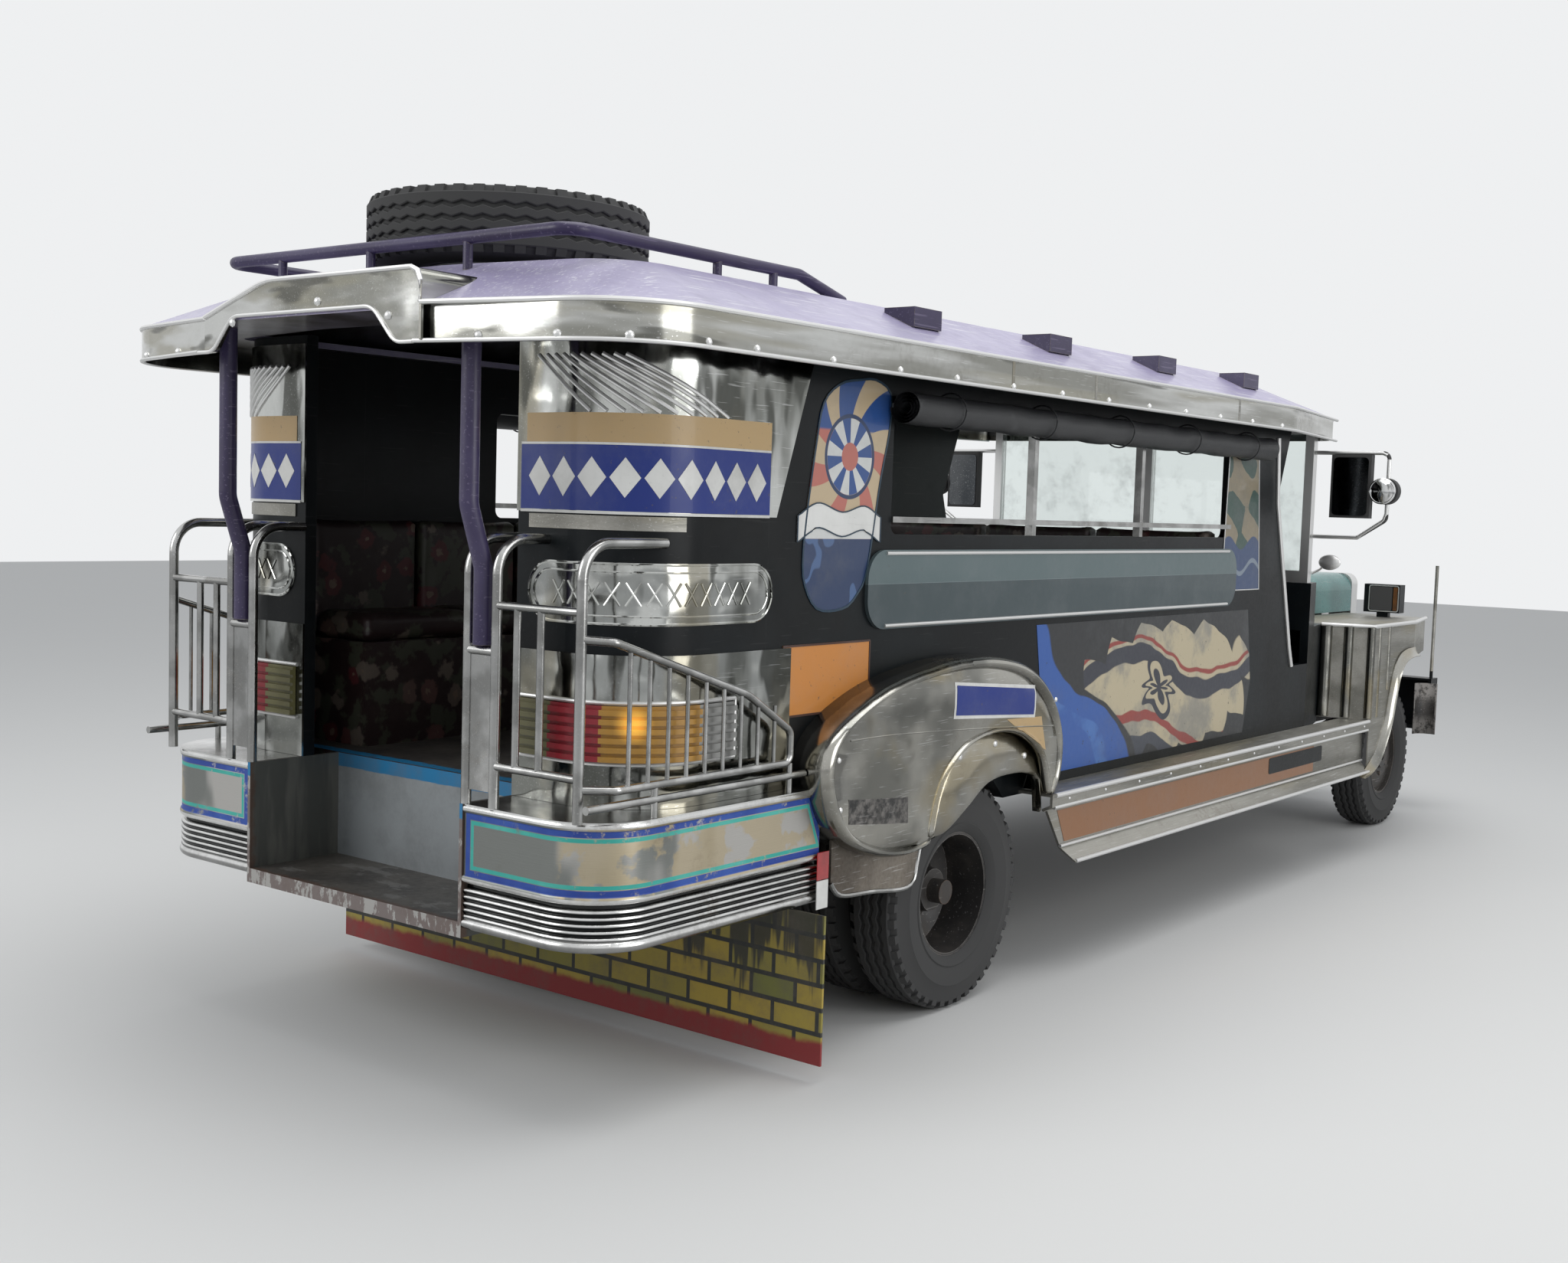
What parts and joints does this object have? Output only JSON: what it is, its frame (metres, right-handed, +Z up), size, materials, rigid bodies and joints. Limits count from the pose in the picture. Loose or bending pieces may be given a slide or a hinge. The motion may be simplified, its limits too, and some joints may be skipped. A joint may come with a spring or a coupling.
{
  "type": "jeepney",
  "caption": "Long open-backed passenger jeepney with a domed roof, stainless rear corners, side benches, a rear step well and a hinged hood.",
  "frame": {"origin": "on the ground at the middle of the overall length and width", "axes": "+X forward, +Y to the vehicle's left, +Z up"},
  "size_m": [7.11, 2.53, 2.4773],
  "materials": {
    "lilac_paint": "faded gloss",
    "violet_paint": "worn gloss",
    "black_paint": "gloss",
    "charcoal_paint": "gloss",
    "teal_paint": "gloss",
    "floor_paint": "worn",
    "stainless": "polished",
    "bright_tube": "polished",
    "brushed_steel": "brushed",
    "frame_paint": "satin",
    "cast_iron": "rough",
    "tyre_rubber": "dusty",
    "wheel_paint": "satin",
    "sign_paint": "satin",
    "glass": "clear",
    "curtain": "tarpaulin",
    "upholstery": "woven",
    "lamp_plastic": "gloss",
    "mud_rubber": "painted",
    "dark_plastic": "matte",
    "silver_trim": "satin"
  },
  "bodies": {
    "vehicle": {"chassis_frame": "frame_paint", "leaf_springs": "frame_paint", "rear_axle": "cast_iron", "front_axle": "cast_iron", "engine_block": "cast_iron", "drive_line": "cast_iron", "fuel_tank": "frame_paint", "floor_pan": "floor_paint", "step_well": "brushed_steel", "corner_walls": "black_paint", "mirror_sheets": "stainless", "lower_sheets": "stainless", "side_wall_right": "charcoal_paint", "side_wall_left": "charcoal_paint", "window_bars": "bright_tube", "sign_boards": "sign_paint", "curtain_rolls": "curtain", "roof_panel": "lilac_paint", "roof_fascia": "silver_trim", "roof_hoods": "violet_paint", "roof_rack": "violet_paint", "spare_tyre": "tyre_rubber", "rear_bumpers": "brushed_steel", "rear_rails": "bright_tube", "entrance_posts": "violet_paint", "tail_lamps": "lamp_plastic", "wheel_covers": "stainless", "running_boards": "stainless", "cowl": "charcoal_paint", "windscreen_frame": "charcoal_paint", "windscreen_glass": "glass", "front_fenders": "stainless", "grille_shell": "bright_tube", "headlamps": "bright_tube", "signal_boxes": "dark_plastic", "bumper_front": "black_paint", "mirrors": "dark_plastic", "mud_board": "mud_rubber", "bench_boxes": "upholstery", "bench_cushions": "upholstery", "bench_backs": "upholstery", "cab_seat_box": "upholstery", "cab_seat_cushion": "upholstery", "cab_seat_back": "upholstery", "steering_column": "frame_paint"},
    "knuckle_right": {"knuckle_right": "cast_iron"},
    "knuckle_left": {"knuckle_left": "cast_iron"},
    "wheel_front_right": {"wheel_front_right": "wheel_paint", "tyre_front_right": "tyre_rubber"},
    "wheel_front_left": {"wheel_front_left": "wheel_paint", "tyre_front_left": "tyre_rubber"},
    "wheel_rear_right": {"wheel_rear_right": "wheel_paint", "tyres_rear_right": "tyre_rubber"},
    "wheel_rear_left": {"wheel_rear_left": "wheel_paint", "tyres_rear_left": "tyre_rubber"},
    "steering_wheel": {"steering_wheel": "dark_plastic"},
    "hood": {"hood": "teal_paint"}
  },
  "joints": [
    {"name": "kingpin_right", "type": "hinge", "parent": "vehicle", "child": "knuckle_right", "pos_m": [2.865, -0.6, 0.375], "axis": [0, 0, 1], "range_deg": [-30, 30]},
    {"name": "kingpin_left", "type": "hinge", "parent": "vehicle", "child": "knuckle_left", "pos_m": [2.865, 0.6, 0.375], "axis": [0, 0, 1], "range_deg": [-30, 30]},
    {"name": "front_wheel_right", "type": "hinge", "parent": "knuckle_right", "child": "wheel_front_right", "pos_m": [2.865, -0.729, 0.375], "axis": [0, 1, 0], "continuous": true},
    {"name": "front_wheel_left", "type": "hinge", "parent": "knuckle_left", "child": "wheel_front_left", "pos_m": [2.865, 0.729, 0.375], "axis": [0, 1, 0], "continuous": true},
    {"name": "rear_wheel_right", "type": "hinge", "parent": "vehicle", "child": "wheel_rear_right", "pos_m": [-1.659, -0.73, 0.375], "axis": [0, 1, 0], "continuous": true},
    {"name": "rear_wheel_left", "type": "hinge", "parent": "vehicle", "child": "wheel_rear_left", "pos_m": [-1.659, 0.73, 0.375], "axis": [0, 1, 0], "continuous": true},
    {"name": "steering_wheel", "type": "hinge", "parent": "vehicle", "child": "steering_wheel", "pos_m": [1.061, 0.43, 1.31], "axis": [-0.8192, 0, 0.5736], "range_deg": [-450, 450]},
    {"name": "hood", "type": "hinge", "parent": "vehicle", "child": "hood", "pos_m": [1.625, 0, 1.34], "axis": [0, -1, 0], "range_deg": [0, 50]}
  ],
  "couplings": [
    {"joint": "kingpin_left", "follows": "kingpin_right", "ratio": 1},
    {"joint": "steering_wheel", "follows": "kingpin_right", "ratio": 15}
  ]
}
